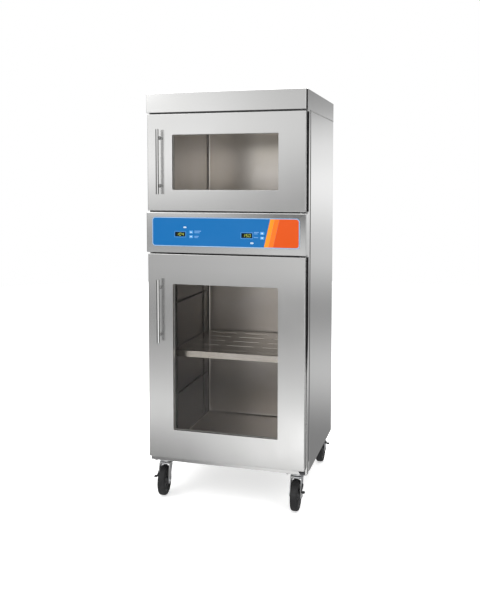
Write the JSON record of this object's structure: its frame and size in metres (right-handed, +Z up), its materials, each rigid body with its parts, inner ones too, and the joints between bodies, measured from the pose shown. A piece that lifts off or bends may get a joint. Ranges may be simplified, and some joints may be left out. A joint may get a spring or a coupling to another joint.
{
  "type": "warming cabinet",
  "caption": "Stainless warming cabinet with an upper and a lower glazed door, a control panel between them, a shelf inside and braked swivel casters below.",
  "frame": {"origin": "on the floor, under the middle of the whole outline", "axes": "+Z up, +Y to the back, +X to the right seen from the front; the doors face -Y"},
  "size_m": [0.68, 0.7242, 1.707],
  "materials": {
    "satin_steel": "satin",
    "liner_steel": "satin",
    "base_steel": "plain mill",
    "plated_steel": "bright zinc plate",
    "handle_steel": "satin",
    "window_glass": "clear tempered",
    "gasket_rubber": "matte",
    "insulation": "glass-fibre batt",
    "heater_foil": "foil",
    "overlay_film": "satin film",
    "key_film": "satin film",
    "display_lens": "gloss",
    "circuit_board": "board",
    "inlet_plastic": "moulded",
    "wheel_rubber": "moulded",
    "brake_plastic": "moulded"
  },
  "bodies": {
    "cabinet": {"top_hood": "satin_steel", "left_side_panel": "satin_steel", "right_side_panel": "satin_steel", "back_panel": "satin_steel", "front_frame": "satin_steel", "control_bezel": "satin_steel", "upper_liner": "liner_steel", "lower_liner": "liner_steel", "shelf": "liner_steel", "left_shelf_rack": "liner_steel", "right_shelf_rack": "liner_steel", "base_frame": "base_steel", "upper_door_top_hinge": "plated_steel", "upper_door_bottom_hinge": "plated_steel", "lower_door_top_hinge": "plated_steel", "lower_door_bottom_hinge": "plated_steel", "upper_probe": "plated_steel", "lower_probe": "plated_steel", "insulation_jacket": "insulation", "upper_heater": "heater_foil", "lower_heater": "heater_foil", "control_overlay": "overlay_film", "left_display": "display_lens", "right_display": "display_lens", "control_board": "circuit_board", "power_inlet": "inlet_plastic", "front_left_caster_plate": "plated_steel", "front_right_caster_plate": "plated_steel", "rear_left_caster_plate": "plated_steel", "rear_right_caster_plate": "plated_steel"},
    "upper_door": {"upper_door_shell": "satin_steel", "upper_door_inner_panel": "liner_steel", "upper_door_outer_glass": "window_glass", "upper_door_inner_glass": "window_glass", "upper_door_gasket": "gasket_rubber", "upper_door_handle": "handle_steel"},
    "lower_door": {"lower_door_shell": "satin_steel", "lower_door_inner_panel": "liner_steel", "lower_door_outer_glass": "window_glass", "lower_door_inner_glass": "window_glass", "lower_door_gasket": "gasket_rubber", "lower_door_handle": "handle_steel"},
    "left_up_key": {"left_up_key": "key_film"},
    "left_down_key": {"left_down_key": "key_film"},
    "left_power_key": {"left_power_key": "key_film"},
    "right_up_key": {"right_up_key": "key_film"},
    "right_down_key": {"right_down_key": "key_film"},
    "right_power_key": {"right_power_key": "key_film"},
    "front_left_swivel": {"front_left_fork": "plated_steel"},
    "front_left_roller": {"front_left_wheel": "wheel_rubber"},
    "front_left_lever": {"front_left_brake": "brake_plastic"},
    "front_right_swivel": {"front_right_fork": "plated_steel"},
    "front_right_roller": {"front_right_wheel": "wheel_rubber"},
    "front_right_lever": {"front_right_brake": "brake_plastic"},
    "rear_left_swivel": {"rear_left_fork": "plated_steel"},
    "rear_left_roller": {"rear_left_wheel": "wheel_rubber"},
    "rear_left_lever": {"rear_left_brake": "brake_plastic"},
    "rear_right_swivel": {"rear_right_fork": "plated_steel"},
    "rear_right_roller": {"rear_right_wheel": "wheel_rubber"},
    "rear_right_lever": {"rear_right_brake": "brake_plastic"}
  },
  "joints": [
    {"name": "upper_door_hinge", "type": "hinge", "parent": "cabinet", "child": "upper_door", "pos_m": [0.32, -0.3144, 1.42], "axis": [0, 0, 1], "range_deg": [0, 120]},
    {"name": "lower_door_hinge", "type": "hinge", "parent": "cabinet", "child": "lower_door", "pos_m": [0.32, -0.3144, 0.611], "axis": [0, 0, 1], "range_deg": [0, 120]},
    {"name": "left_up_key_press", "type": "slide", "parent": "cabinet", "child": "left_up_key", "axis": [0, 1, 0], "range_m": [0, 0.0008], "stiffness_N_per_m": 1200, "springref_m": -0.0004},
    {"name": "left_down_key_press", "type": "slide", "parent": "cabinet", "child": "left_down_key", "axis": [0, 1, 0], "range_m": [0, 0.0008], "stiffness_N_per_m": 1200, "springref_m": -0.0004},
    {"name": "left_power_key_press", "type": "slide", "parent": "cabinet", "child": "left_power_key", "axis": [0, 1, 0], "range_m": [0, 0.0008], "stiffness_N_per_m": 1200, "springref_m": -0.0004},
    {"name": "right_up_key_press", "type": "slide", "parent": "cabinet", "child": "right_up_key", "axis": [0, 1, 0], "range_m": [0, 0.0008], "stiffness_N_per_m": 1200, "springref_m": -0.0004},
    {"name": "right_down_key_press", "type": "slide", "parent": "cabinet", "child": "right_down_key", "axis": [0, 1, 0], "range_m": [0, 0.0008], "stiffness_N_per_m": 1200, "springref_m": -0.0004},
    {"name": "right_power_key_press", "type": "slide", "parent": "cabinet", "child": "right_power_key", "axis": [0, 1, 0], "range_m": [0, 0.0008], "stiffness_N_per_m": 1200, "springref_m": -0.0004},
    {"name": "front_left_swivel_turn", "type": "hinge", "parent": "cabinet", "child": "front_left_swivel", "pos_m": [-0.289, -0.2514, 0.132], "axis": [0, 0, 1], "continuous": true},
    {"name": "front_left_wheel_roll", "type": "hinge", "parent": "front_left_swivel", "child": "front_left_roller", "pos_m": [-0.2864, -0.27727, 0.0625], "axis": [0.995, 0.0998, 0], "continuous": true},
    {"name": "front_left_brake_tip", "type": "hinge", "parent": "front_left_swivel", "child": "front_left_lever", "pos_m": [-0.2879, -0.26235, 0.1], "axis": [0.995, 0.0998, 0], "range_deg": [0, 14]},
    {"name": "front_right_swivel_turn", "type": "hinge", "parent": "cabinet", "child": "front_right_swivel", "pos_m": [0.289, -0.2514, 0.132], "axis": [0, 0, 1], "continuous": true},
    {"name": "front_right_wheel_roll", "type": "hinge", "parent": "front_right_swivel", "child": "front_right_roller", "pos_m": [0.28978, -0.27739, 0.0625], "axis": [0.9996, 0.03, 0], "continuous": true},
    {"name": "front_right_brake_tip", "type": "hinge", "parent": "front_right_swivel", "child": "front_right_lever", "pos_m": [0.28933, -0.2624, 0.1], "axis": [0.9996, 0.03, 0], "range_deg": [0, 14]},
    {"name": "rear_left_swivel_turn", "type": "hinge", "parent": "cabinet", "child": "rear_left_swivel", "pos_m": [-0.289, 0.2736, 0.132], "axis": [0, 0, 1], "continuous": true},
    {"name": "rear_left_wheel_roll", "type": "hinge", "parent": "rear_left_swivel", "child": "rear_left_roller", "pos_m": [-0.289, 0.2996, 0.0625], "axis": [1, 0, 0], "continuous": true},
    {"name": "rear_left_brake_tip", "type": "hinge", "parent": "rear_left_swivel", "child": "rear_left_lever", "pos_m": [-0.289, 0.2846, 0.1], "axis": [-1, 0, 0], "range_deg": [0, 14]},
    {"name": "rear_right_swivel_turn", "type": "hinge", "parent": "cabinet", "child": "rear_right_swivel", "pos_m": [0.289, 0.2736, 0.132], "axis": [0, 0, 1], "continuous": true},
    {"name": "rear_right_wheel_roll", "type": "hinge", "parent": "rear_right_swivel", "child": "rear_right_roller", "pos_m": [0.289, 0.2996, 0.0625], "axis": [1, 0, 0], "continuous": true},
    {"name": "rear_right_brake_tip", "type": "hinge", "parent": "rear_right_swivel", "child": "rear_right_lever", "pos_m": [0.289, 0.2846, 0.1], "axis": [-1, 0, 0], "range_deg": [0, 14]}
  ]
}
